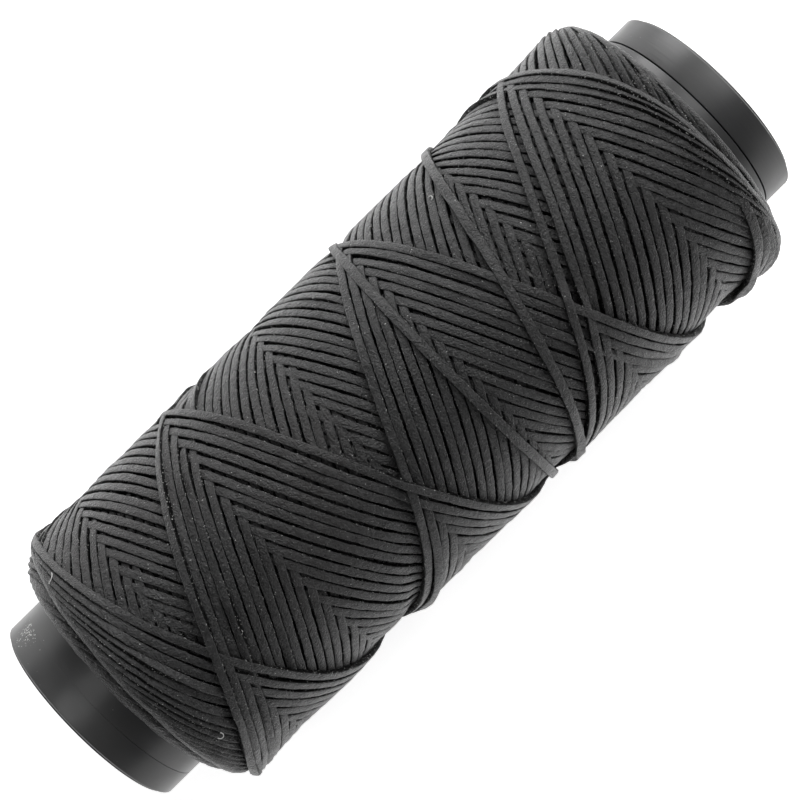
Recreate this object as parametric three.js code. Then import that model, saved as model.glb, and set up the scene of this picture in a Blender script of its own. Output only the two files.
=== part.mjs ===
// Waxed thread spool: a thin plastic winding tube with a ring pressed into each end, cross-wound
// with black waxed braided thread. It lies on its side on the surface z = 0 with its axis along X.
// Millimetres, +Z up. The origin is the middle of the footprint, under the middle of the tube.

import * as THREE from 'three';

// Winding tube and its two end rings
const TUBE_OD = 25;
const TUBE_WALL = 1.5;
const SPOOL_LENGTH = 96;
const PLUS_RING_WIDTH = 3.9; // from the rim to the seam, at the +X end
const MINUS_RING_WIDTH = 3.4;
const SEAM_GAP = 0.15; // hairline seam between a ring and the tube
const RIM_CHAMFER = 0.3;
const SPIGOT_LENGTH = 6; // the part of a ring that sits inside the tube
const SPIGOT_WALL = 0.9;
const SPIGOT_GAP = 0.1;

// Wound thread
const THREAD_D = 0.75;
const THREAD_GAP = 0.15; // between the last wraps and the winding under them
const WOUND_OD = 35.2;
const WOUND_PLUS_X = 42.9; // where the winding meets the tube
const WOUND_MINUS_X = -41.5;
const SHOULDER_LENGTH = 3.8; // axial length of the rounding at each end of the winding
const SHOULDER_POWER = 2.4; // superellipse exponent of that rounding
const SHOULDER_STEPS = 5;
const WINDING_GAP = 0.2; // tube to base winding, and base winding to outer winding
const OUTER_WINDING_DEPTH = 1.5; // the last two crossed layers

const TURN_SEGMENTS = 56;
const WRAP_STEP_DEG = 9;
const THREAD_SIDES = 8;
const AXIS_HEIGHT = WOUND_OD / 2 + THREAD_GAP + THREAD_D;

const TUBE_R = TUBE_OD / 2;
const WOUND_R = WOUND_OD / 2;
const HALF_LENGTH = SPOOL_LENGTH / 2;
const BASE_INNER_R = TUBE_R + WINDING_GAP;
const OUTER_INNER_R = WOUND_R - OUTER_WINDING_DEPTH;
const BASE_OUTER_R = OUTER_INNER_R - WINDING_GAP;

// The last wraps, laid over the finished winding: [angle in degrees, x]. The angle starts at the
// top of the spool, +Z, and turns towards -Y.
const LAST_WRAPS = [
  [17, 40.6],
  [50, 38.9],
  [80, 36.2],
  [140, 31.4],
  [210, 26.2],
  [280, 21.2],
  [340, 17.2],
  [390, 13.4],
  [440, 10.3],
  [510, 8.6],
  [580, 7.6],
  [645, 6.8],
  [690, 5.8],
  [730, 5.6],
  [790, 6.5],
  [850, 7.6],
  [890, 8.8],
];

const tubePlastic = () =>
  new THREE.MeshStandardMaterial({ color: 0x2b2b2c, roughness: 0.42, metalness: 0 });
const waxedThread = () =>
  new THREE.MeshStandardMaterial({ color: 0x1f1f20, roughness: 0.62, metalness: 0 });

// A solid turned about X. The outline is a closed loop of [x, radius] points that runs along the
// outside towards +X and back along the inside. A flat, not an edge, faces the ground.
function turned(name, outline, material) {
  const loop = [...outline, outline[0]].map(([x, radius]) => new THREE.Vector2(radius, x));
  const geometry = new THREE.LatheGeometry(loop, TURN_SEGMENTS, Math.PI / TURN_SEGMENTS);
  const mesh = new THREE.Mesh(geometry, material);
  mesh.name = name;
  mesh.rotation.z = -Math.PI / 2;
  return mesh;
}

function coreTube() {
  const bore = TUBE_R - TUBE_WALL;
  const low = -HALF_LENGTH + MINUS_RING_WIDTH;
  const high = HALF_LENGTH - PLUS_RING_WIDTH;
  return turned('core_tube', [[low, TUBE_R], [high, TUBE_R], [high, bore], [low, bore]], tubePlastic());
}

// An end ring: a collar as wide as the tube, and a spigot that fits inside it. side is 1 or -1.
function endRing(name, side, width) {
  const spigotR = TUBE_R - TUBE_WALL - SPIGOT_GAP;
  const bore = spigotR - SPIGOT_WALL;
  const shoulder = HALF_LENGTH - width + SEAM_GAP;
  const outline = [
    [shoulder - SPIGOT_LENGTH, bore],
    [shoulder - SPIGOT_LENGTH, spigotR],
    [shoulder, spigotR],
    [shoulder, TUBE_R],
    [HALF_LENGTH - RIM_CHAMFER, TUBE_R],
    [HALF_LENGTH, TUBE_R - RIM_CHAMFER],
    [HALF_LENGTH, bore],
  ];
  const placed = side > 0 ? outline : outline.map(([x, radius]) => [-x, radius]).reverse();
  return turned(name, placed, tubePlastic());
}

// How far the winding's end face at one radius lies inside the point where it meets the tube.
function shoulderInset(radius) {
  const rise = THREE.MathUtils.clamp((radius - TUBE_R) / (WOUND_R - TUBE_R), 0, 1);
  return SHOULDER_LENGTH * (1 - (1 - rise ** SHOULDER_POWER) ** (1 / SHOULDER_POWER));
}

// The radius of the finished winding at one x: the inverse of shoulderInset at the nearer end.
function woundRadius(x) {
  const fromEnd = Math.min(x - WOUND_MINUS_X, WOUND_PLUS_X - x);
  const run = 1 - THREE.MathUtils.clamp(fromEnd / SHOULDER_LENGTH, 0, 1);
  return TUBE_R + (WOUND_R - TUBE_R) * (1 - run ** SHOULDER_POWER) ** (1 / SHOULDER_POWER);
}

// A sleeve of wound thread between two radii, ending on the winding's rounded end faces.
function windingSleeve(name, innerR, outerR) {
  const radii = [];
  for (let i = 0; i <= SHOULDER_STEPS; i++) {
    const quarter = (i / SHOULDER_STEPS) * (Math.PI / 2);
    radii.push(innerR + (outerR - innerR) * Math.sin(quarter));
  }
  const minusEnd = radii.map((radius) => [WOUND_MINUS_X + shoulderInset(radius), radius]);
  const plusEnd = radii.map((radius) => [WOUND_PLUS_X - shoulderInset(radius), radius]);
  return turned(name, [...minusEnd, ...plusEnd.reverse()], waxedThread());
}

// The last wraps' centre line, on top of the finished winding.
class WrapCurve extends THREE.Curve {
  constructor(stops) {
    super();
    this.unrolled = new THREE.SplineCurve(stops.map(([angle, x]) => new THREE.Vector2(angle, x)));
  }

  getPoint(t, target = new THREE.Vector3()) {
    const stop = this.unrolled.getPoint(t);
    const angle = THREE.MathUtils.degToRad(stop.x);
    const radius = woundRadius(stop.y) + THREAD_GAP + THREAD_D / 2;
    return target.set(stop.y, -radius * Math.sin(angle), radius * Math.cos(angle));
  }
}

function lastWraps() {
  const section = new THREE.Shape();
  for (let i = 0; i < THREAD_SIDES; i++) {
    const angle = (i / THREAD_SIDES) * Math.PI * 2;
    const corner = [(THREAD_D / 2) * Math.cos(angle), (THREAD_D / 2) * Math.sin(angle)];
    if (i === 0) {
      section.moveTo(...corner);
    } else {
      section.lineTo(...corner);
    }
  }
  const sweptDegrees = LAST_WRAPS[LAST_WRAPS.length - 1][0] - LAST_WRAPS[0][0];
  const geometry = new THREE.ExtrudeGeometry(section, {
    steps: Math.round(sweptDegrees / WRAP_STEP_DEG),
    extrudePath: new WrapCurve(LAST_WRAPS),
  });
  const mesh = new THREE.Mesh(geometry, waxedThread());
  mesh.name = 'thread_last_wraps';
  return mesh;
}

const spool = new THREE.Group();
spool.position.z = AXIS_HEIGHT;
spool.add(coreTube());
spool.add(endRing('end_ring_plus', 1, PLUS_RING_WIDTH));
spool.add(endRing('end_ring_minus', -1, MINUS_RING_WIDTH));
spool.add(windingSleeve('thread_base_winding', BASE_INNER_R, BASE_OUTER_R));
spool.add(windingSleeve('thread_outer_winding', OUTER_INNER_R, WOUND_R));
spool.add(lastWraps());

export default spool;
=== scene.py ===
"""The looks of the waxed thread spool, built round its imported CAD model.

The thread is wound here the way the spool was: one stroke after another is laid along the tube and
back on a height map of the winding, each on top of what lies under it. Only the stretches that show
on the finished spool become meshes. Lengths in this script are millimetres and angles are degrees,
unless a name says otherwise. The spool's axis runs along X. A place on the winding is given by
its x and by its angle round the axis, which starts at the top, +Z, and turns towards -Y.
"""

import math

import bpy
import numpy as np
from mathutils import Euler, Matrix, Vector


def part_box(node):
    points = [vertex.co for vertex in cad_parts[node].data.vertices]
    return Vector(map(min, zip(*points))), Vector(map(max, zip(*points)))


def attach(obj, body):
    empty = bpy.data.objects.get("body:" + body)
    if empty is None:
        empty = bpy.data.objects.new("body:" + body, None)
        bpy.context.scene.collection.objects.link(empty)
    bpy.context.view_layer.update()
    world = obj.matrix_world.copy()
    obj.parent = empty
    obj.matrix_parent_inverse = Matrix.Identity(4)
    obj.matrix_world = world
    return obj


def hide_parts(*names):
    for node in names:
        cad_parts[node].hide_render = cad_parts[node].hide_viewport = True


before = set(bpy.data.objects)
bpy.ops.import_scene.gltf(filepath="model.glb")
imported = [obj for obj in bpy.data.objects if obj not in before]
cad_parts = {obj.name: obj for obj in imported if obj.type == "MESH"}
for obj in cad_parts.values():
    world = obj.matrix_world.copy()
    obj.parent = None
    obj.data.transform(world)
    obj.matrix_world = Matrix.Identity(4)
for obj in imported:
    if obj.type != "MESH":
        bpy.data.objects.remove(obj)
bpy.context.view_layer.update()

MM = 0.001
PLUS, MINUS = 1, -1
UP, DOWN = True, False  # a stroke towards +X, and one towards -X


# ---- Measures taken from the frame ----

def node_box(name):
    """A CAD node's lowest and highest corners, in millimetres."""
    low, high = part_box(name)
    return np.array(low) / MM, np.array(high) / MM


def bore_radius(name):
    """The radius of the hole through a turned CAD node."""
    points = np.array([vertex.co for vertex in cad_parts[name].data.vertices]) / MM
    return np.hypot(points[:, 1], points[:, 2] - AXIS_HEIGHT).min()


tube_low, tube_high = node_box("core_tube")
plus_low, plus_high = node_box("end_ring_plus")
minus_low, minus_high = node_box("end_ring_minus")
base_low, base_high = node_box("thread_base_winding")
outer_low, outer_high = node_box("thread_outer_winding")

FACETS = 56  # on the CAD's turned solids, with a flat facing the ground
FLAT = math.cos(math.pi / FACETS)
AXIS_HEIGHT = (tube_low[2] + tube_high[2]) / 2
TUBE_RADIUS = (tube_high[2] - tube_low[2]) / 2 / FLAT
CREST_HEIGHT = 0.43  # how far the smooth winding lies inside the CAD's outer one
WOUND_RADIUS = (outer_high[2] - outer_low[2]) / 2 / FLAT - CREST_HEIGHT
WINDING_END = {PLUS: base_high[0], MINUS: base_low[0]}

# ---- The thread and how it was wound ----

THREAD_WIDTH = 1.08  # it is flattened a little where it is wound
THREAD_THICKNESS = 0.76
MESH_WIDTH = 0.97  # of the thread's mesh, which leaves a thin gap beside the next
THREAD_PITCH = 1.09
SECTION_POWER = 2.8  # superellipse exponent of the thread's section, in the height map
LEAD = 50.57  # along the tube for each turn round it
TURNED_BY = 1260  # the angle of one double traverse, before the step that sets it beside the last
LAST_APEX = 16.0  # the angle where the last stroke turns back at the +X end
PEAK_ON_TUBE = {PLUS: -0.5, MINUS: 0.3}  # where a stroke turns back, from the winding's end
PEAK_ON_TOP = {PLUS: -2.45, MINUS: 2.6}
PEAK_ALTERNATES = {PLUS: 0.1, MINUS: -0.6}  # between one double traverse and the next
PEAK_JITTER = 0.07
PEAK_JITTER_RATE = 2.3  # radians from one double traverse to the next
APPROACH = {PLUS: 63.0, MINUS: 40.0}  # the angle over which a stroke bends before it turns back
DEPARTURE = {PLUS: 60.0, MINUS: 94.0}
BEND_SHIFT = (DEPARTURE[MINUS] + APPROACH[PLUS] - DEPARTURE[PLUS] - APPROACH[MINUS]) / 4
SHOULDER_LENGTH = 3.8  # axial length of the rounding at each end of the winding
SHOULDER_POWER = 3.8
LEVEL_LIFT = 0.32  # how far a new layer starts above the smooth winding
LEVEL_SWING = 0.7  # how much higher the winding is behind a leading thread, in thicknesses
SMALLEST_RISE = 0.5  # a thread's rise over the others where it turns back, in thicknesses
HIGHEST_RISE = 0.9  # how far threads may stand above the smooth winding

# At the +X end the threads turn back in separate ropes down the winding's rounded end.
ROPE_TOP = -0.1  # how far the newest rope's middle stands above the smooth winding
ROPE_STEP = 0.72  # in radius, from one rope to the next
ROPE_COUNT = 6  # from the newest rope down to the tube
ROPE_INSET = [-1.15, -0.4]  # of the newest rope and of the one on the tube, from the winding's end
NEWEST_TURNS = 8  # about so many double traverses turn back short of the rope
TURNS_PER_TWO_ROPES = 59  # the double traverses that share two ropes
ROPE_UNTIL = 0.6  # a thread has left its rope where it is this straight

# Every thread's small sideways waves: [size, radians for each degree of angle, phase]
WANDER = [[0.05, 0.0311, 0], [0.05, 0.0797, 1], [0.03, 0.1931, 2]]

LAST_DOWN_SLIP = 0.5  # the last stroke down has slid away from its neighbour
LAST_DOWN_SLIP_AT = -1070.0
LAST_DOWN_SLIP_SPREAD = 75.0
HIGHEST = AXIS_HEIGHT - 0.05  # the furthest from the axis for the middle of a thread's upper face

# The last wraps, laid over the finished winding: [angle, x], as in the CAD model.
LAST_WRAPS = [
    [17, 40.6],
    [50, 38.9],
    [80, 36.2],
    [140, 31.4],
    [210, 26.2],
    [280, 21.2],
    [340, 17.2],
    [390, 13.4],
    [440, 10.3],
    [510, 8.6],
    [580, 7.6],
    [645, 6.8],
    [690, 5.8],
    [730, 5.6],
    [790, 6.5],
    [850, 7.6],
    [890, 8.8],
]
LAST_WRAPS_SETTLE = 40.0  # the angle over which they climb onto the winding
TUCK_ANGLE = 14.0  # the thread's end dips under its neighbours over this angle
TUCK_DEPTH = 0.9
LAST_WRAPS_WIDTH = 1.12  # they lie flatter than the rest

# The height map of the winding
STEP = 0.5  # degrees between samples along a thread
MAP_STEP_ROUND = 0.25
MAP_STEP_ALONG = 0.1
MAP_END = 45.0
MAP_COLUMNS = round(360 / MAP_STEP_ROUND)
MAP_ROWS = round(2 * MAP_END / MAP_STEP_ALONG) + 1
MAP_X = -MAP_END + np.arange(MAP_ROWS) * MAP_STEP_ALONG
MAP_ANGLE = np.arange(MAP_COLUMNS) * MAP_STEP_ROUND
FEET = np.linspace(-0.36, 0.36, 5)  # where a thread feels what lies under it, across its width
STAMP = np.arange(-0.5, 0.501, 0.0625)  # and where it marks the map, in widths

# How a thread is pulled tight on what lies under it. Reaches and blurs are in samples along it.
BRIDGE_REACH = 8
BRIDGE_BLUR = 7.0
BITE = 0.12  # how far the threads under it may press into it
BITE_BLUR = 2.0
STEEPEST_TILT = 0.9  # radians
TILT_BLUR = 8.0
TOP_BLUR = 4.0
TURN_BLUR = 10.0  # where it turns back
TURN_BLUR_UNTIL = 0.25  # it has left the turn where it is this straight


def smoothed(part):
    """A value that goes from 0 to 1, eased so that it starts and ends level."""
    return part * part * (3 - 2 * part)


def bulge(part, power):
    """1 at part 0, falling to 0 at part 1 along a superellipse."""
    return (1 - np.clip(part, 0, 1) ** power) ** (1 / power)


def shoulder_part(radius):
    """How far in from the winding's end its end face is at a radius, from 0 to 1."""
    return 1 - bulge((radius - TUBE_RADIUS) / (WOUND_RADIUS - TUBE_RADIUS), SHOULDER_POWER)


def wound_profile(x, radius):
    """The smooth winding's radius along x, when it has been wound up to radius."""
    inside = np.minimum(x - WINDING_END[MINUS], WINDING_END[PLUS] - x)
    return TUBE_RADIUS + (radius - TUBE_RADIUS) * bulge(1 - inside / SHOULDER_LENGTH, SHOULDER_POWER)


def peak(side, radius, turn):
    """The x at which a double traverse turns back at one end."""
    part = shoulder_part(radius - THREAD_THICKNESS / 2)
    part /= shoulder_part(WOUND_RADIUS - THREAD_THICKNESS / 2)
    inset = PEAK_ON_TUBE[side] + (PEAK_ON_TOP[side] - PEAK_ON_TUBE[side]) * part
    alternate = PEAK_ALTERNATES[side] * (1 if turn % 2 == 0 else -1)
    return WINDING_END[side] + inset + alternate + PEAK_JITTER * math.sin(PEAK_JITTER_RATE * turn)


def angle_gain(radius):
    """The angle that sets each thread a pitch apart from the one laid before it."""
    centre = radius - THREAD_THICKNESS / 2
    around = 2 * math.pi * centre
    return math.degrees(THREAD_PITCH / centre) * math.hypot(LEAD, around) / LEAD


def double_traverses():
    """Each double traverse's +X apex, radius, and whether it starts a layer. The newest is first."""
    turns, apex, radius, swept = [], LAST_APEX, WOUND_RADIUS, 0.0
    while radius > TUBE_RADIUS:
        gain = angle_gain(radius)
        swept += gain
        turns.append((apex, radius, swept >= 360))
        swept %= 360
        apex -= TURNED_BY - gain / 2
        radius -= 2 * THREAD_THICKNESS * gain / 360
    turns.append((apex, TUBE_RADIUS, False))
    return turns


def rope(turn):
    """The x and radius at which a double traverse turns back at the +X end."""
    order = turn // 2 % 2 + 2 * turn / TURNS_PER_TWO_ROPES
    part = max(0, 1 - order / ROPE_COUNT)
    x = WINDING_END[PLUS] + ROPE_INSET[1] + (ROPE_INSET[0] - ROPE_INSET[1]) * part
    x += (LAST_WRAPS[0][1] - x) * math.exp(-turn / NEWEST_TURNS)
    radius = WOUND_RADIUS + ROPE_TOP - ROPE_STEP * order
    return x, max(TUBE_RADIUS + THREAD_THICKNESS / 2, radius)


def stroke(start, end, x_start, x_end, leave, arrive, start_shift=0.0, end_shift=0.0):
    """A stroke's angles and x, and how straight it is, from 0 where it turns back to 1. The shifts
    move the places where it turns back, and leave the straight stretch where it is."""
    angle = np.arange(math.ceil(start / STEP), math.floor(end / STEP) + 1) * STEP
    slope = (x_end - x_start) / (end - start - (leave + arrive) / 2)
    gone, left = angle - start, end - angle
    x = x_start + slope * (gone - leave / 2)
    leave += 2 * start_shift / slope
    arrive -= 2 * end_shift / slope
    x = np.where(gone < leave, x_start + start_shift + slope * gone ** 2 / (2 * leave), x)
    x = np.where(left < arrive, x_end + end_shift - slope * left ** 2 / (2 * arrive), x)
    return angle, x, np.minimum(1, np.minimum(gone / leave, left / arrive))


def wander(angle):
    """How far a thread strays sideways."""
    return sum(size * np.sin(rate * angle + phase) for size, rate, phase in WANDER)


def cells(angle, x):
    """The height map's row and column at each place on the winding."""
    row = np.clip(np.rint((x + MAP_END) / MAP_STEP_ALONG).astype(int), 0, MAP_ROWS - 1)
    return row, np.rint(angle / MAP_STEP_ROUND).astype(int) % MAP_COLUMNS


def blurred(values, sigma):
    """The values smoothed along a thread, by a bell curve sigma samples wide."""
    reach = int(3 * sigma) + 1
    kernel = np.exp(-0.5 * (np.arange(-reach, reach + 1) / sigma) ** 2)
    return np.convolve(np.pad(values, reach, mode="edge"), kernel / kernel.sum(), mode="valid")


def crest(values, reach):
    """The highest value within reach samples of each one."""
    padded = np.pad(values, reach, mode="edge")
    return np.lib.stride_tricks.sliding_window_view(padded, 2 * reach + 1).max(axis=1)


def trough(values, reach):
    """The lowest value within reach samples of each one."""
    return -crest(-values, reach)


def across(angle, x, radius):
    """The angle and x gained by a step of 1 across the thread, towards +X."""
    around = np.gradient(np.radians(angle)) * radius
    along = np.gradient(x)
    length = np.hypot(around, along)
    return np.degrees(-along / length / radius), around / length


def rest_on(surface, angle, x, rise, radius):
    """The radius of a thread's centre line, and its tilt, where it is pulled tight on a surface."""
    turn_across, x_across = across(angle, x, radius)
    feet = [cells(angle + turn_across * foot, x + x_across * foot) for foot in FEET]
    under = np.array([surface[cell] for cell in feet])
    held = under.max(axis=0)
    rest = blurred(trough(crest(held, BRIDGE_REACH), BRIDGE_REACH), BRIDGE_BLUR)
    rest = blurred(np.maximum(rest, held - BITE), BITE_BLUR)
    climb = under[3:].mean(axis=0) - under[:2].mean(axis=0)
    slope = climb / (FEET[3:].mean() - FEET[:2].mean())
    tilt = blurred(np.clip(np.arctan(slope), -STEEPEST_TILT, STEEPEST_TILT), TILT_BLUR)
    limit = wound_profile(x, radius) + HIGHEST_RISE
    top = blurred(np.minimum(rest + rise, limit), TOP_BLUR)
    return np.minimum(top, HIGHEST) - THREAD_THICKNESS / 2, tilt


def top_at(thread, offset):
    """The radius of a thread's upper face at an offset across it."""
    half = THREAD_THICKNESS / 2 * bulge(abs(2 * offset / THREAD_WIDTH), SECTION_POWER)
    return thread["centre"] + half + np.tan(thread["tilt"]) * offset


def halved_steps(values):
    """The values with their mean put between each one and the next."""
    finer = np.empty(2 * len(values) - 1)
    finer[::2] = values
    finer[1::2] = (values[1:] + values[:-1]) / 2
    return finer


def press(surface, thread, radius):
    """Raises the height map to the thread's upper face."""
    fine = {key: halved_steps(thread[key]) for key in ("angle", "x", "centre", "tilt")}
    turn_across, x_across = across(fine["angle"], fine["x"], radius)
    for part in STAMP:
        offset = part * THREAD_WIDTH
        cell = cells(fine["angle"] + turn_across * offset, fine["x"] + x_across * offset)
        np.maximum.at(surface, cell, top_at(fine, offset))


def leading_angle(turns, turn, direction):
    """Where the stroke of a double traverse is, for every x of the map."""
    if direction == UP:
        apex, radius, _ = turns[turn]
        lead = -APPROACH[PLUS] / 2 - (peak(PLUS, radius, turn) - MAP_X) * 360 / LEAD
    else:
        # a down stroke leaves the apex of the double traverse before its own
        apex, radius, _ = turns[min(turn + 1, len(turns) - 1)]
        lead = DEPARTURE[PLUS] / 2 + (peak(PLUS, radius, turn + 1) - MAP_X) * 360 / LEAD
    return apex + lead


def start_layer(turns, newest):
    """The winding under a new layer: high just behind each leading thread, and low ahead of it."""
    smooth = wound_profile(MAP_X, turns[newest][1]) + LEVEL_LIFT
    surface = np.repeat(smooth[:, None], MAP_COLUMNS, axis=1)
    for direction in (UP, DOWN):
        behind = []
        for turn in (newest, newest + 1):
            lead = leading_angle(turns, turn, direction)
            behind.append((MAP_ANGLE[None, :] - lead[:, None]) % 360)
        surface += LEVEL_SWING * THREAD_THICKNESS * (0.5 - np.minimum(*behind) / 180)
    return np.maximum(surface, TUBE_RADIUS)


def new_thread(turn, direction, angle, x, centre, tilt, straight, width=MESH_WIDTH):
    """A stretch of thread as arrays with a value for each sample along it."""
    thread = {
        "turn": turn,
        "direction": direction,
        "angle": angle,
        "x": x,
        "centre": centre,
        "tilt": tilt,
        "straight": straight,
        "width": width,
    }
    return {key: np.broadcast_to(values, angle.shape) for key, values in thread.items()}


def wind():
    """Winds the whole spool. Returns every stroke and the height map they leave."""
    turns = double_traverses()
    surface = np.full((MAP_ROWS, MAP_COLUMNS), TUBE_RADIUS)
    threads = []
    for turn in range(len(turns) - 2, -1, -1):
        last_apex, _, _ = turns[turn + 1]
        apex, radius, new_layer = turns[turn]
        if new_layer:
            surface = start_layer(turns, min(turn + 1, len(turns) - 2))
        low = (last_apex + apex) / 2 - BEND_SHIFT
        x_first = peak(PLUS, radius, turn + 1)
        x_low = peak(MINUS, radius, turn)
        x_last = peak(PLUS, radius, turn)
        for direction in (DOWN, UP):
            if direction == UP:
                rope_x, rope_radius = rope(turn)
                bends = [DEPARTURE[MINUS], APPROACH[PLUS], 0, rope_x - x_last]
                route = stroke(low, apex, x_low, x_last, *bends)
            else:
                rope_x, rope_radius = rope(turn + 1)
                bends = [DEPARTURE[PLUS], APPROACH[MINUS], rope_x - x_first, 0]
                route = stroke(last_apex, low, x_first, x_low, *bends)
            angle, x, straight = route
            x = x + wander(angle) * straight
            if turn == 0 and direction == DOWN:
                from_slip = (angle - LAST_DOWN_SLIP_AT) / LAST_DOWN_SLIP_SPREAD
                x = x - LAST_DOWN_SLIP * np.exp(-(from_slip ** 2))
            rise = THREAD_THICKNESS * np.clip(straight, SMALLEST_RISE, 1)
            centre, tilt = rest_on(surface, angle, x, rise, radius)
            in_rope = smoothed(np.where(x > 0, np.clip(1 - straight / ROPE_UNTIL, 0, 1), 0))
            centre = centre * (1 - in_rope) + rope_radius * in_rope
            thread = new_thread(turn, direction, angle, x, centre, tilt, straight)
            press(surface, thread, radius)
            threads.append(thread)
    return threads, surface


def spline(stops, angles):
    """A smooth curve through [angle, x] stops, by Hermite pieces with finite-difference slopes."""
    at, x = np.array(stops, float).T
    slopes = np.gradient(x, at)
    piece = np.clip(np.searchsorted(at, angles) - 1, 0, len(at) - 2)
    width = at[piece + 1] - at[piece]
    t = (angles - at[piece]) / width
    return (
        (2 * t ** 3 - 3 * t ** 2 + 1) * x[piece]
        + (t ** 3 - 2 * t ** 2 + t) * width * slopes[piece]
        + (3 * t ** 2 - 2 * t ** 3) * x[piece + 1]
        + (t ** 3 - t ** 2) * width * slopes[piece + 1]
    )


def lay_last_wraps(last_stroke, surface):
    """The last wraps go on from the last stroke's end, over the finished winding."""
    start, end = last_stroke["angle"][-1], LAST_WRAPS[-1][0]
    angle = np.arange(round(start / STEP), round(end / STEP) + 1) * STEP
    stops = [[start, last_stroke["x"][-1]]] + LAST_WRAPS[1:]
    x = spline(stops, angle)
    rise = np.full(len(angle), THREAD_THICKNESS)
    centre, tilt = rest_on(surface, angle, x, rise, WOUND_RADIUS)
    part = np.clip((angle - start) / LAST_WRAPS_SETTLE, 0, 1)
    settled = smoothed(part)
    centre = last_stroke["centre"][-1] * (1 - settled) + centre * settled
    tucked = np.clip(1 - (end - angle) / TUCK_ANGLE, 0, 1)
    centre = centre - TUCK_DEPTH * tucked * tucked
    width = MESH_WIDTH + (LAST_WRAPS_WIDTH - MESH_WIDTH) * settled
    thread = new_thread(0, DOWN, angle, x, centre, tilt * settled, part, width)
    press(surface, thread, WOUND_RADIUS)
    return thread


def joined(strokes):
    """All the strokes as one thread, with the steps where it turns back smoothed out."""
    thread = {key: np.concatenate([piece[key] for piece in strokes]) for key in strokes[0]}
    turning = np.clip(1 - thread["straight"] / TURN_BLUR_UNTIL, 0, 1)
    for key in ("centre", "tilt"):
        thread[key] = thread[key] * (1 - turning) + blurred(thread[key], TURN_BLUR) * turning
    return thread


# ---- Which stretches of thread show ----

SEEN_DEPTH = 0.07  # a thread shows where its upper face is this close to the finished surface
SEEN_DEPTH_AT_END = 0.4
END_START = SHOULDER_LENGTH + 1  # how far from the winding's end that greater depth starts
END_ZONE = 2.2  # how far inside the end faces threads are kept
END_ZONE_TURNING = 1.3  # of that, where a thread turns back, and 1 less where it runs straight
RUN_MARGIN = 8  # samples kept past each end of a stretch that shows
SHORTEST_RUN = 4
COVERED_DEPTH = 0.5  # other threads hide a cut through a thread that lies this far under them


def end_face(side, radius):
    """The x of the winding's end face at a radius."""
    return WINDING_END[side] - side * SHOULDER_LENGTH * shoulder_part(radius)


def seen(thread, surface):
    """True for each sample of a thread that shows on the finished winding."""
    turn_across, x_across = across(thread["angle"], thread["x"], WOUND_RADIUS)
    curved = np.abs(thread["x"]) > WINDING_END[PLUS] - END_START
    depth = np.where(curved, SEEN_DEPTH_AT_END, SEEN_DEPTH)
    shows = np.zeros(len(thread["x"]), bool)
    for foot in FEET:
        cell = cells(thread["angle"] + turn_across * foot, thread["x"] + x_across * foot)
        shows |= top_at(thread, foot) > surface[cell] - depth
    for side in (PLUS, MINUS):
        inside = side * (end_face(side, thread["centre"]) - thread["x"])
        shows |= inside < END_ZONE * (END_ZONE_TURNING - thread["straight"])
    return shows


def runs(shows):
    """The first and last sample of each stretch that shows, with its margins."""
    shows = np.convolve(shows, np.ones(2 * RUN_MARGIN + 1), mode="same") > 0
    edges = np.flatnonzero(np.diff(np.concatenate([[False], shows, [False]]).astype(int)))
    shortest = SHORTEST_RUN + 2 * RUN_MARGIN
    return [(first, last) for first, last in zip(edges[::2], edges[1::2]) if last - first > shortest]


# ---- Meshes ----

RING_EVERY = 2  # samples between the rings of a thread's mesh
SECTION_ANGLES = np.radians([-20, 4, 18, 34, 50, 70, 90, 110, 130, 146, 162, 176, 200, 240, 300])
MESH_POWER = {"flat": 4.8, "round": 2.4}  # the section's exponent where it runs straight, and turns
ALONG_FOR_ANGLE = 0.31  # where a stretch's length starts for each degree, so that no two are alike
SWELLS = [[0.03, 0.9], [0.02, 2.1]]  # in width: [size, radians for each millimetre]

# The braid's relief. Its waves: [size, waves for each repeat, waves round the thread, phase]
BRAID_LENGTH = 0.9  # one repeat of the braid along the thread
BRAID_RELIEF = 0.009
BRAID_WAVES = [[1, 0.31, 2, 0], [1, 0.43, -1, 0], [0.7, 0.77, -2, 1]]
EDGE_RELIEF = 0.016  # the plait's bumps along the thread's two sides
EDGE_UNEVENNESS = 0.1  # radians by which the braid's waves shift those bumps


def place(angle, x, radius):
    """Points in the scene, in millimetres, from places on the winding."""
    angle, x, radius = np.broadcast_arrays(angle, x, radius)
    turn = np.radians(angle)
    return np.stack([x, -radius * np.sin(turn), AXIS_HEIGHT + radius * np.cos(turn)], axis=-1)


def unit(vectors):
    return vectors / np.linalg.norm(vectors, axis=-1, keepdims=True)


def superellipse(angles, power):
    """Points of a superellipse, a row for each exponent in power."""
    cos, sin = np.cos(angles)[None, :], np.sin(angles)[None, :]
    sharpness = 2 / power[:, None]
    return np.sign(cos) * np.abs(cos) ** sharpness, np.sign(sin) * np.abs(sin) ** sharpness


def braid_relief(along, around):
    """The plait's bumps on the thread's surface, which alternate between its two sides."""
    turn = around[None, :] * 2 * math.pi
    length = 2 * math.pi * along[:, None] / BRAID_LENGTH
    waves = sum(
        size * np.sin(length * repeats + rounds * turn + phase)
        for size, repeats, rounds, phase in BRAID_WAVES
    )
    edges = np.cos(turn) ** 3 * np.sin(length + EDGE_UNEVENNESS * waves)
    return BRAID_RELIEF * waves + EDGE_RELIEF * edges


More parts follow.
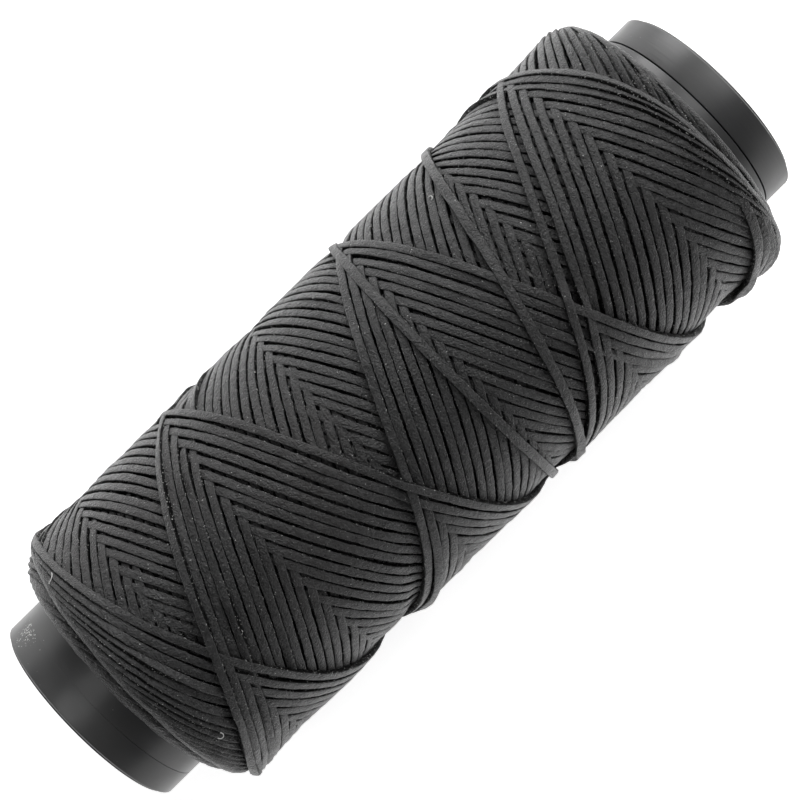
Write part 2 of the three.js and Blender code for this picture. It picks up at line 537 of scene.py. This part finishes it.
def thread_rings(thread, first, last):
    """The rings of vertices of one stretch of thread, and each ring's length along the thread."""
    pick = np.arange(first, last, RING_EVERY)
    keys = ("angle", "x", "centre", "tilt", "width")
    angle, x, centre, tilt, width = (thread[key][pick] for key in keys)
    middle = place(angle, x, centre)
    forward = unit(np.gradient(middle, axis=0))
    outward = place(angle, x, 1.0) - place(angle, x, 0.0)
    sideways = unit(np.cross(outward, forward))
    upward = np.cross(forward, sideways)
    lean_cos, lean_sin = np.cos(tilt)[:, None], np.sin(tilt)[:, None]
    sideways, upward = sideways * lean_cos + upward * lean_sin, upward * lean_cos - sideways * lean_sin
    along = np.concatenate([[0], np.cumsum(np.linalg.norm(np.diff(middle, axis=0), axis=1))])
    along += thread["angle"][first] * ALONG_FOR_ANGLE
    flat = np.clip(2 * thread["straight"][pick], 0, 1)
    power = MESH_POWER["round"] + (MESH_POWER["flat"] - MESH_POWER["round"]) * flat
    wide, thick = superellipse(SECTION_ANGLES, power)
    swell = 1 + sum(size * np.sin(rate * along) for size, rate in SWELLS)
    relief = braid_relief(along, SECTION_ANGLES / (2 * math.pi))
    wide = wide * ((width * swell / 2)[:, None] + relief)
    thick = thick * (THREAD_THICKNESS / 2 + relief)
    rings = middle[:, None] + wide[..., None] * sideways[:, None] + thick[..., None] * upward[:, None]
    return rings, along


def tube_faces(ring_count, sides, first_vertex):
    """The corners of a closed tube's quads, facing out, for rings that turn from +side to up."""
    ring = np.arange(ring_count - 1)[:, None] * sides
    side = np.arange(sides)[None, :]
    following = (side + 1) % sides
    quads = [ring + side, ring + following, ring + sides + following, ring + sides + side]
    return first_vertex + np.stack(quads, axis=-1).reshape(-1, 4)


def make_mesh(name, points, corners, sizes, smooth=True):
    """An object from points in millimetres, every face's corners in a row, and each face's size."""
    mesh = bpy.data.meshes.new(name)
    mesh.vertices.add(len(points))
    mesh.vertices.foreach_set("co", (np.asarray(points) * MM).ravel())
    mesh.loops.add(len(corners))
    mesh.loops.foreach_set("vertex_index", corners)
    mesh.polygons.add(len(sizes))
    mesh.polygons.foreach_set("loop_start", np.concatenate([[0], np.cumsum(sizes)[:-1]]))
    mesh.polygons.foreach_set("use_smooth", np.full(len(sizes), smooth))
    mesh.update(calc_edges=True)
    piece = bpy.data.objects.new(name, mesh)
    bpy.context.collection.objects.link(piece)
    return piece


def thread_piece(name, thread, stretches, material):
    """One piece from many stretches of the thread, each a closed tube."""
    points, corners, sizes, lengths, turns = [], [], [], [], []
    sides = len(SECTION_ANGLES)
    count = 0
    for first, last in stretches:
        rings, along = thread_rings(thread, first, last)
        ring_count = len(rings)
        quads = tube_faces(ring_count, sides, count)
        first_cap = count + np.arange(sides)[::-1]
        last_cap = count + (ring_count - 1) * sides + np.arange(sides)
        points.append(rings.reshape(-1, 3))
        corners += [quads.ravel(), first_cap, last_cap]
        sizes += [np.full(len(quads), 4), [sides, sides]]
        lengths.append(np.repeat(along, sides))
        turns.append(np.tile(SECTION_ANGLES / (2 * math.pi), ring_count))
        count += ring_count * sides
    piece = make_mesh(name, np.concatenate(points), np.concatenate(corners), np.concatenate(sizes))
    for key, values in (("along", lengths), ("around", turns)):
        attribute = piece.data.attributes.new(key, "FLOAT", "POINT")
        attribute.data.foreach_set("value", np.concatenate(values).astype(np.float32))
    piece.data.materials.append(material)
    return piece


def turned(name, outline, material, facets=192):
    """A solid turned about the spool's axis. The outline is a closed loop of (x, radius) points that
    runs along the outside towards +X and back along the inside."""
    outline = np.array(outline)
    angle = np.arange(facets) * 360 / facets
    points = place(angle[:, None], outline[None, :, 0], outline[None, :, 1]).reshape(-1, 3)
    count = len(outline)
    column = np.arange(facets)[:, None] * count
    following_column = np.roll(column, -1, axis=0)
    row = np.arange(count)[None, :]
    following_row = (row + 1) % count
    corners = [
        column + row,
        following_column + row,
        following_column + following_row,
        column + following_row,
    ]
    quads = np.stack(corners, axis=-1).reshape(-1, 4)
    piece = make_mesh(name, points, quads.ravel(), np.full(len(quads), 4))
    piece.data.materials.append(material)
    return piece


def rounded(outline, radii, steps=5):
    """The outline with each corner rounded to its own radius."""
    points = []
    count = len(outline)
    for i, radius in enumerate(radii):
        before, corner, after = (np.array(outline[(i + k) % count], float) for k in (-1, 0, 1))
        if radius == 0:
            points.append(corner)
            continue
        start = corner + (before - corner) / np.linalg.norm(before - corner) * radius
        end = corner + (after - corner) / np.linalg.norm(after - corner) * radius
        for t in np.linspace(0, 1, steps):
            points.append((1 - t) ** 2 * start + 2 * t * (1 - t) * corner + t ** 2 * end)
    return points


# ---- Material nodes ----

STRAND_LENGTH = 0.5  # of the lumps along the braid's strands
STRAND_WIDTH = 0.05  # of a strand, in turns round the thread
STRAND_SLANT = 0.1  # turns round the thread for each millimetre along it
STRAND_SETS_APART = 40  # in the noise, which makes the two sets of strands differ
UPPER_FACE = 0.25  # the middle of the thread's upper face, in turns round it
NOISE_TURN = (0.5, 0.9, 0.35)  # radians, so that no face lies along the noise's own grid

# How far round the thread from the middle of its upper face its parts start and end, in turns
# painted highlight: the band near each edge of the thread that is painted lighter
HIGHLIT_EDGE = [0.07, 0.14]
DUSTY_EDGE = [0.08, 0.16]
SHINE_END = [0.12, 0.17]
# painted shade: where the thread's sides are painted darker, for the shade in the gaps between threads
SHADED_SIDE = [0.145, 0.175]

BLACK_WAX = (0.0090, 0.0090, 0.0093)
WARM_BLACK_WAX = (0.0115, 0.0100, 0.0100)
# lighter wax, for the worn patches and for the painted highlight along the thread's edges
WORN_AND_HIGHLIT_WAX = (0.031, 0.031, 0.0315)
# painted shade down the thread's sides, and over the whole winding core
PAINTED_SIDE_SHADE = (0.0035, 0.0035, 0.0035)
DRY_WAX = (0.48, 0.48, 0.47)
DARK_PLASTIC = (0.040, 0.040, 0.041)
LIGHT_PLASTIC = (0.058, 0.058, 0.058)
SCRATCHED_PLASTIC = (0.10, 0.10, 0.10)
PLASTIC_DUST = (0.38, 0.38, 0.37)
DARK_FIBRE = (0.45, 0.45, 0.45)
PALE_FIBRE = (0.80, 0.80, 0.78)
DIM_FLOOR = (0.86, 0.86, 0.86)
WHITE_FLOOR = (0.90, 0.90, 0.90)
FLOOR_GLOW = 0.9

# The value of the noise behind each effect where it starts to show, and where it shows in full
PATCHY = [0.3, 0.75]
WARM = [0.45, 0.7]
ROUGH = [0.3, 0.7]
LIGHT = [0.35, 0.7]
SCRATCHED = [0.73, 0.78]
DUSTY = [0.77, 0.80]

# How strong each effect is on the thread's upper face, and then at its edges or down its sides
SPECKS_ABOVE = [0.75, 0.67]  # the value of the noise
# painted highlight: how far the thread's edges are painted towards the lighter wax
EDGE_HIGHLIGHT = [0.0, 0.9]
SPECULAR = [0.5, 0.07]
SHEEN = [0.36, 0.0]

# The rest of the thread's looks, with the depths of its bumps in millimetres
WAX_ROUGHNESS = [0.24, 0.46]
PATCH_STRENGTH = 0.55
SPECK_BLEND = 0.03
LUMP_DEPTH = 0.08
GRAIN_DEPTH = 0.14
STRAND_DEPTH = 0.19

# The plastic's looks
PLASTIC_ROUGHNESS = [0.28, 0.38]
SCRATCH_ROUGHNESS = 0.1
SCRATCH_STRENGTH = 0.2
SCRATCH_STRETCH = (0.35, 9, 9)  # they run round the tube, and so do the turning marks
TURNING_STRETCH = (0.5, 6, 6)
TURNING_DEPTH = 0.012
TURNING_STRENGTH = 0.7
SCUFF_REACH = [0.5 * MM, 4.0 * MM]  # crumbs thin out over this distance
CRUMBS_ABOVE = [0.55, 0.80]  # the value of the noise, near the middle and far out
CRUMB_BLEND = 0.04


def add_node(tree, kind, settings=None, **inputs):
    """A shader node, with its properties set and each input linked or given a value. An input's
    name is its label in lower case with _ for spaces, or in_0, in_1 and so on."""
    node = tree.nodes.new("ShaderNode" + kind)
    for key, value in (settings or {}).items():
        setattr(node, key, value)
    by_name = {socket.name.lower().replace(" ", "_"): socket for socket in reversed(node.inputs)}
    by_name.update({f"in_{i}": socket for i, socket in enumerate(node.inputs)})
    for key, value in inputs.items():
        if isinstance(value, bpy.types.NodeSocket):
            tree.links.new(value, by_name[key])
        else:
            by_name[key].default_value = value
    return node


def maths(tree, operation, a, b=0.0):
    return add_node(tree, "Math", {"operation": operation}, in_0=a, in_1=b).outputs[0]


def noise(tree, size, detail=3.0, stretch=(1, 1, 1), offset=0.0):
    """Noise from 0 to 1 whose lumps are about size millimetres across, drawn out by stretch."""
    coordinates = add_node(tree, "TexCoord").outputs["Object"]
    mapping = add_node(
        tree,
        "Mapping",
        vector=coordinates,
        location=(offset, offset, offset),
        rotation=NOISE_TURN,
        scale=[1 / factor for factor in stretch],
    )
    made = add_node(tree, "TexNoise", vector=mapping.outputs[0], scale=1 / (size * MM), detail=detail)
    return made.outputs["Fac"]


def between(tree, value, low, high, start=0.0, end=1.0):
    """value remapped smoothly from low..high to start..end, and held there outside."""
    settings = {"interpolation_type": "SMOOTHSTEP", "clamp": True}
    node = add_node(tree, "MapRange", settings, in_0=value, in_1=low, in_2=high, in_3=start, in_4=end)
    return node.outputs[0]


def blend_colours(tree, factor, first, second):
    node = add_node(tree, "Mix", {"data_type": "RGBA"})
    for socket, value in ((node.inputs[0], factor), (node.inputs[6], first), (node.inputs[7], second)):
        if isinstance(value, bpy.types.NodeSocket):
            tree.links.new(value, socket)
        else:
            socket.default_value = (*value, 1) if isinstance(value, tuple) else value
    return node.outputs[2]


def new_material(name):
    material = bpy.data.materials.new(name)
    material.use_nodes = True
    return material, material.node_tree, material.node_tree.nodes["Principled BSDF"]


def connect(tree, shader, **values):
    """Links or sets a shader's inputs, each named by its label in lower case with _ for spaces."""
    by_name = {socket.name.lower().replace(" ", "_"): socket for socket in shader.inputs}
    for key, value in values.items():
        socket = by_name[key]
        if isinstance(value, bpy.types.NodeSocket):
            tree.links.new(value, socket)
        else:
            socket.default_value = value


def bump(tree, height, depth, strength=1.0, normal=None):
    """A bump map from a height of 0 to 1, depth millimetres deep."""
    links = {"height": height, "distance": depth * MM, "strength": strength}
    if normal is not None:
        links["normal"] = normal
    return add_node(tree, "Bump", **links).outputs[0]


def strand_height(tree):
    """The braid's slanting strands, from 0 to 1, from the coordinates along and around the thread."""
    along = add_node(tree, "Attribute", {"attribute_name": "along"}).outputs["Fac"]
    around = add_node(tree, "Attribute", {"attribute_name": "around"}).outputs["Fac"]
    length = maths(tree, "DIVIDE", along, STRAND_LENGTH)
    heights = []
    for slant in (STRAND_SLANT, -STRAND_SLANT):
        slanted = maths(tree, "ADD", around, maths(tree, "MULTIPLY", along, slant))
        width = maths(tree, "DIVIDE", slanted, STRAND_WIDTH)
        spot = add_node(tree, "CombineXYZ", x=length, y=width, z=STRAND_SETS_APART * slant).outputs[0]
        heights.append(add_node(tree, "TexNoise", vector=spot, scale=1.0, detail=2.0).outputs["Fac"])
    return maths(tree, "MAXIMUM", *heights)


def from_top(tree):
    """How far round the thread from the middle of its upper face, in turns."""
    around = add_node(tree, "Attribute", {"attribute_name": "around"}).outputs["Fac"]
    return maths(tree, "ABSOLUTE", maths(tree, "SUBTRACT", around, UPPER_FACE))


def wax_dust(tree):
    """1 on the small pale specks of dry wax, which are thickest along the thread's edges."""
    threshold = between(tree, from_top(tree), *DUSTY_EDGE, *SPECKS_ABOVE)
    above = maths(tree, "SUBTRACT", noise(tree, 0.20, 1.0), threshold)
    return between(tree, above, 0.0, SPECK_BLEND)


def wax_colour(tree):
    """Black wax, lighter in worn patches, with a painted highlight along the thread's edges and
    painted shade down its sides.
    """
    patches = between(tree, noise(tree, 0.9, 4.0), *PATCHY)
    warm = between(tree, noise(tree, 26.0, 1.0, offset=0.3), *WARM)
    black = blend_colours(tree, warm, BLACK_WAX, WARM_BLACK_WAX)
    # painted highlight along the thread's edges
    edge_highlight = between(tree, from_top(tree), *HIGHLIT_EDGE, *EDGE_HIGHLIGHT)
    lighter = maths(tree, "ADD", maths(tree, "MULTIPLY", patches, PATCH_STRENGTH), edge_highlight)
    colour = blend_colours(tree, lighter, black, WORN_AND_HIGHLIT_WAX)
    # painted shade down the thread's sides, where the gaps between threads lie
    return blend_colours(tree, between(tree, from_top(tree), *SHADED_SIDE), colour, PAINTED_SIDE_SHADE)


def waxed_thread():
    """Black braided thread under a soft coat of wax, with specks of dust."""
    material, tree, shader = new_material("waxed_thread")
    connect(
        tree,
        shader,
        base_color=blend_colours(tree, wax_dust(tree), wax_colour(tree), DRY_WAX),
        roughness=between(tree, noise(tree, 0.4, 3.0, offset=0.1), *ROUGH, *WAX_ROUGHNESS),
        normal=thread_normal(tree),
        specular_ior_level=between(tree, from_top(tree), *SHINE_END, *SPECULAR),
        sheen_weight=between(tree, from_top(tree), *SHINE_END, *SHEEN),
        sheen_roughness=0.3,
    )
    return material


def thread_normal(tree):
    """The braid's strands under the wax, the wax's own lumps, and its fine grain."""
    lumps = bump(tree, noise(tree, 0.5, 3.0), LUMP_DEPTH)
    grain = bump(tree, noise(tree, 0.16, 2.0, offset=0.6), GRAIN_DEPTH, normal=lumps)
    return bump(tree, strand_height(tree), STRAND_DEPTH, normal=grain)


def moulded_plastic(name, scuff_place=None):
    """Dark grey moulded plastic with faint turning marks, hairline scratches, dust and wear."""
    material, tree, shader = new_material(name)
    tone = between(tree, noise(tree, 9.0, 2.0), *LIGHT)
    colour = blend_colours(tree, tone, DARK_PLASTIC, LIGHT_PLASTIC)
    scratches = between(tree, noise(tree, 0.5, 2.0, SCRATCH_STRETCH, 0.7), *SCRATCHED)
    scratch_colour = maths(tree, "MULTIPLY", scratches, SCRATCH_STRENGTH)
    colour = blend_colours(tree, scratch_colour, colour, SCRATCHED_PLASTIC)
    dust = between(tree, noise(tree, 0.26, 2.0, offset=0.27), *DUSTY)
    if scuff_place is not None:
        dust = maths(tree, "MAXIMUM", dust, scuffs(tree, scuff_place))
    connect(
        tree,
        shader,
        base_color=blend_colours(tree, dust, colour, PLASTIC_DUST),
        roughness=plastic_roughness(tree, scratches),
        normal=bump(tree, noise(tree, 0.7, 4.0, TURNING_STRETCH), TURNING_DEPTH, TURNING_STRENGTH),
    )
    return material


def plastic_roughness(tree, scratches):
    """Satin, and duller in the scratches."""
    smooth = between(tree, noise(tree, 4.0, 4.0), *ROUGH, *PLASTIC_ROUGHNESS)
    return maths(tree, "ADD", smooth, maths(tree, "MULTIPLY", scratches, SCRATCH_ROUGHNESS))


def scuffs(tree, scuff_place):
    """Fine crumbs of dust in a patch round one place, in millimetres."""
    ends = {"in_0": add_node(tree, "TexCoord").outputs["Object"], "in_1": Vector(scuff_place) * MM}
    away = add_node(tree, "VectorMath", {"operation": "DISTANCE"}, **ends).outputs["Value"]
    thinning = between(tree, away, *SCUFF_REACH, *CRUMBS_ABOVE)
    crumbs = maths(tree, "SUBTRACT", noise(tree, 0.22, 2.0, offset=0.9), thinning)
    return between(tree, crumbs, 0.0, CRUMB_BLEND)


def fibre_material():
    """Pale lint."""
    material, tree, shader = new_material("lint")
    tone = noise(tree, 1.5)
    connect(
        tree,
        shader,
        base_color=blend_colours(tree, tone, DARK_FIBRE, PALE_FIBRE),
        roughness=0.8,
    )
    return material


def floor_material():
    """A pale floor that glows a little, so that it stays white round the spool."""
    material, tree, shader = new_material("pale_floor")
    tone = noise(tree, 60.0, 3.0)
    white = blend_colours(tree, tone, DIM_FLOOR, WHITE_FLOOR)
    connect(
        tree,
        shader,
        base_color=white,
        roughness=0.7,
        emission_color=white,
        emission_strength=FLOOR_GLOW,
    )
    return material


# ---- The pieces ----

STROKE_GROUPS = 6  # pieces that the strokes of each direction are shared between
SLEEVE_DEPTH = 0.95  # how far the dark core lies below the smooth winding
SLEEVE_END_DEPTH = {PLUS: 2.0, MINUS: 0.8}  # and inside its end faces
SLEEVE_GAP = 0.02  # between it and the tube
SLEEVE_STEPS = 9
SEAM_EDGE = {PLUS: 0.06, MINUS: 0.015}  # how much the edges at each seam are rounded
SEAM_GAP = {PLUS: 0.15, MINUS: 0.01}  # between the tube's end and a ring's shoulder
SEAM_LEAN = 0.0035  # the minus ring stands a little askew, so that its seam opens only towards -Y
BORE_EDGE = 0.05


def make_tube():
    """The winding tube, with its edges at the two seams just broken."""
    outer, inner = TUBE_RADIUS, bore_radius("core_tube")
    low, high = tube_low[0], tube_high[0]
    outline = [(low, outer), (high, outer), (high, inner), (low, inner)]
    edges = [SEAM_EDGE[MINUS], SEAM_EDGE[PLUS], BORE_EDGE, BORE_EDGE]
    piece = turned("winding_tube", rounded(outline, edges), moulded_plastic("tube_plastic"))
    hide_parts("core_tube")
    return piece


RIM_TAPER = [0.2, 0.55]  # along the ring, and down its rim
RIM_LIP = 0.16  # the rim's inner edge stands out this far from the taper
SPIGOT_GAP = 0.1
SPIGOT_EDGE = 0.2
TAPER_EDGE = 0.1
LIP_EDGE = 0.03
MOUTH_EDGE = 0.25
SCUFF_PLACE = [-58, -45.0]  # the angle and x of the scuffed patch on the minus ring


def make_end_ring(side):
    """An end ring: a collar as wide as the tube, with a tapered rim, and a spigot inside it."""
    node = {PLUS: "end_ring_plus", MINUS: "end_ring_minus"}[side]
    low, high = {PLUS: (plus_low[0], plus_high[0]), MINUS: (-minus_high[0], -minus_low[0])}[side]
    tube_end = {PLUS: tube_high[0], MINUS: -tube_low[0]}[side]
    shoulder = tube_end + SEAM_GAP[side]
    outer, bore = TUBE_RADIUS, bore_radius(node)
    spigot = bore_radius("core_tube") - SPIGOT_GAP
    outline = [
        (low, bore),
        (low, spigot),
        (shoulder, spigot),
        (shoulder, outer),
        (high - RIM_LIP - RIM_TAPER[0], outer),
        (high - RIM_LIP, outer - RIM_TAPER[1]),
        (high, outer - RIM_TAPER[1]),
        (high, bore),
    ]
    edges = [SPIGOT_EDGE, SPIGOT_EDGE, 0, SEAM_EDGE[side], TAPER_EDGE, 0, LIP_EDGE, MOUTH_EDGE]
    points = rounded(outline, edges)
    if side == MINUS:
        points = [(-x, radius) for x, radius in reversed(points)]
    scuff_place = place(*SCUFF_PLACE, TUBE_RADIUS) if side == MINUS else None
    piece = turned(node.replace("end_ring", "rim_ring"), points, moulded_plastic(node, scuff_place))
    if side == MINUS:
        for vertex in piece.data.vertices:
            vertex.co.x += SEAM_LEAN * vertex.co.y
    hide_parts(node)
    return piece


def make_winding_core(material):
    """The inside of the winding, which closes the view between the threads. Its along and around stay
    at 0, so the thread material paints it all in the painted shade of the threads' sides.
    """
    depth = WOUND_RADIUS - SLEEVE_DEPTH - TUBE_RADIUS
    radii = TUBE_RADIUS + SLEEVE_GAP + depth * np.sin(np.linspace(0, math.pi / 2, SLEEVE_STEPS))
    low = [(end_face(MINUS, radius) + SLEEVE_END_DEPTH[MINUS], radius) for radius in radii]
    high = [(end_face(PLUS, radius) - SLEEVE_END_DEPTH[PLUS], radius) for radius in radii]
    piece = turned("winding_core", low + high[::-1], material)
    # the along and around attributes stay at 0, which puts the whole core in the painted side shade
    for key in ("along", "around"):
        piece.data.attributes.new(key, "FLOAT", "POINT")
    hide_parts("thread_base_winding")
    return piece


def split_stretches(thread, surface, last_wraps_start):
    """The stretches that show, as lists of (first, last) samples for each piece's name."""
    shows = seen(thread, surface)
    shows[last_wraps_start:] = True
    covered = surface[cells(thread["angle"], thread["x"])] - top_at(thread, 0) > COVERED_DEPTH
    cut = np.flatnonzero(covered[:last_wraps_start])[-1]
    pieces = {"thread_last_wraps_braid": [(cut, len(shows))]}
    for first, last in runs(shows[:cut]):
        middle = (first + last) // 2
        direction = "up" if thread["direction"][middle] == UP else "down"
        name = f"thread_{direction}_strokes_{thread['turn'][middle] % STROKE_GROUPS + 1}"
        pieces.setdefault(name, []).append((first, last))
    return pieces


def make_thread(strokes, last_wraps, surface, material):
    """The thread's pieces. It is one thread, cut where other wraps cover the cut."""
    thread = joined(strokes + [last_wraps])
    last_wraps_start = len(thread["x"]) - len(last_wraps["x"])
    pieces = []
    for name, stretches in sorted(split_stretches(thread, surface, last_wraps_start).items()):
        piece = thread_piece(name, thread, stretches, material)
        stands_for = "thread_last_wraps" if name.startswith("thread_last") else "thread_outer_winding"
        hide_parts(stands_for)
        pieces.append(piece)
    return pieces


# Lint on the winding: [angle, x, length, curl in degrees]
LINT = [
    [-48, 17.2, 1.1, -170],
    [38, -37.0, 1.4, 220],
    [-46, -38.0, 1.5, 110],
    [140, 5.0, 1.8, -220],
    [205, -26.0, 1.4, 150],
]
LINT_RADIUS = 0.045
LINT_ARCH = 0.12  # how far a fibre's middle stands off the thread
LINT_HEADING_STEP = 40.0  # from one fibre to the next
LINT_SIDES, LINT_STEPS = 6, 16


def make_lint(surface):
    """A few short stray fibres that cling to the wax."""
    sides, steps = LINT_SIDES, LINT_STEPS
    points, corners, sizes = [], [], []
    for i, (angle, x, length, curl) in enumerate(LINT):
        t = np.linspace(0, 1, steps)
        heading = math.radians(LINT_HEADING_STEP * i) + np.radians(curl) * t
        forward_x = np.cumsum(np.cos(heading)) * length / steps
        forward_round = np.cumsum(np.sin(heading)) * length / steps
        x_along = x + forward_x
        angle_along = angle + np.degrees(forward_round / WOUND_RADIUS)
        under = surface[cells(angle_along, x_along)].max()
        radius = under + LINT_RADIUS + LINT_ARCH * np.sin(math.pi * t)
        middle = place(angle_along, x_along, radius)
        outward = place(angle_along, x_along, 1.0) - place(angle_along, x_along, 0.0)
        forward = unit(np.gradient(middle, axis=0))
        sideways = unit(np.cross(outward, forward))
        upward = np.cross(forward, sideways)
        ring = np.linspace(0, 2 * math.pi, sides, endpoint=False)
        cos, sin = np.cos(ring)[None, :, None], np.sin(ring)[None, :, None]
        rings = middle[:, None] + LINT_RADIUS * (cos * sideways[:, None] + sin * upward[:, None])
        count = i * steps * sides
        points.append(rings.reshape(-1, 3))
        first_cap = count + np.arange(sides)[::-1]
        last_cap = count + (steps - 1) * sides + np.arange(sides)
        corners += [tube_faces(steps, sides, count).ravel(), first_cap, last_cap]
        sizes += [np.full((steps - 1) * sides, 4), [sides, sides]]
    joined_lists = [np.concatenate(values) for values in (points, corners, sizes)]
    piece = make_mesh("lint_fibres", *joined_lists)
    piece.data.materials.append(fibre_material())
    return piece


# ---- The stage ----

CAMERA_ABOVE_AXIS = 204.28
CAMERA_X = -2.28
CAMERA_TURN = (0.606, -0.460, -44.643)  # about X, Y and Z
CAMERA_LENS = 83.14
CAMERA_SENSOR = 36.0
FLOOR_SIZE = 2400.0

# Soft square lights: [name, direction from the spool, distance, size, watts]
SOFTBOXES = [
    ["left_softbox", (0.75, 1.0, 0.45), 650, 420, 2.8],
    ["end_softbox", (0.8, 0.15, 0.8), 300, 160, 0.36],
    ["minus_softbox", (-0.29, 0.24, 0.93), 700, 320, 0.55],
    ["plus_softbox", (0.29, 0.1, 0.93), 700, 280, 0.2],
]

LEFT_GLOW = 1.75  # the horizon's brightness towards +Y, towards -Y, and past the spool's ends
RIGHT_GLOW = 1.35
END_GLOW = 0.4
ZENITH_GLOW = 0.16
RIGHT_ZENITH_GLOW = 0.02  # overhead on the -Y side
HORIZON_GLOW_HEIGHT = 0.38  # the sine of the height where the glow has faded


def make_camera():
    camera = bpy.data.objects.new("camera", bpy.data.cameras.new("camera"))
    camera.data.lens = CAMERA_LENS
    camera.data.sensor_width = CAMERA_SENSOR
    camera.data.clip_start = 0.01
    camera.data.clip_end = 20
    camera.location = Vector((CAMERA_X, 0, AXIS_HEIGHT + CAMERA_ABOVE_AXIS)) * MM
    camera.rotation_euler = Euler([math.radians(turn) for turn in CAMERA_TURN])
    bpy.context.collection.objects.link(camera)
    bpy.context.scene.camera = camera


def make_floor():
    half = FLOOR_SIZE / 2
    corners = [(-half, -half, 0), (half, -half, 0), (half, half, 0), (-half, half, 0)]
    floor = make_mesh("floor", corners, [0, 1, 2, 3], [4], smooth=False)
    floor.data.materials.append(floor_material())


def make_light(name, direction, distance, size, power):
    """A soft square light, in watts, that faces the spool from a direction."""
    lamp = bpy.data.lights.new(name, "AREA")
    lamp.shape = "SQUARE"
    lamp.size = size * MM
    lamp.energy = power
    light = bpy.data.objects.new(name, lamp)
    towards = Vector(direction).normalized()
    light.location = Vector((0, 0, AXIS_HEIGHT * MM)) + towards * distance * MM
    light.rotation_euler = towards.to_track_quat("Z", "Y").to_euler()
    bpy.context.collection.objects.link(light)


def make_world():
    """A white studio that is bright at the horizon, most of all at the spool's sides."""
    world = bpy.data.worlds.new("studio")
    world.use_nodes = True
    tree = world.node_tree
    direction = add_node(tree, "TexCoord").outputs["Generated"]
    parts = add_node(tree, "SeparateXYZ", vector=direction).outputs
    left = between(tree, parts["Y"], 0.1, 0.9, END_GLOW, LEFT_GLOW)
    right = between(tree, parts["Y"], -0.9, -0.1, RIGHT_GLOW - END_GLOW, 0.0)
    horizon = maths(tree, "ADD", left, right)
    zenith = between(tree, parts["Y"], -0.8, -0.1, RIGHT_ZENITH_GLOW, ZENITH_GLOW)
    brightness = between(tree, parts["Z"], 0.0, HORIZON_GLOW_HEIGHT, horizon, zenith)
    tree.links.new(brightness, tree.nodes["Background"].inputs["Strength"])
    tree.nodes["Background"].inputs["Color"].default_value = (1, 1, 1, 1)
    bpy.context.scene.world = world


def make_stage():
    make_floor()
    make_world()
    for softbox in SOFTBOXES:
        make_light(*softbox)
    bpy.context.scene.view_settings.view_transform = "Standard"


def main():
    make_camera()
    make_stage()
    threads, surface = wind()
    last_wraps = lay_last_wraps(threads[-1], surface)
    thread_material = waxed_thread()
    pieces = [make_tube(), make_end_ring(PLUS), make_end_ring(MINUS)]
    pieces.append(make_winding_core(thread_material))
    pieces += make_thread(threads, last_wraps, surface, thread_material)
    pieces.append(make_lint(surface))
    for piece in pieces:
        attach(piece, "root")


main()
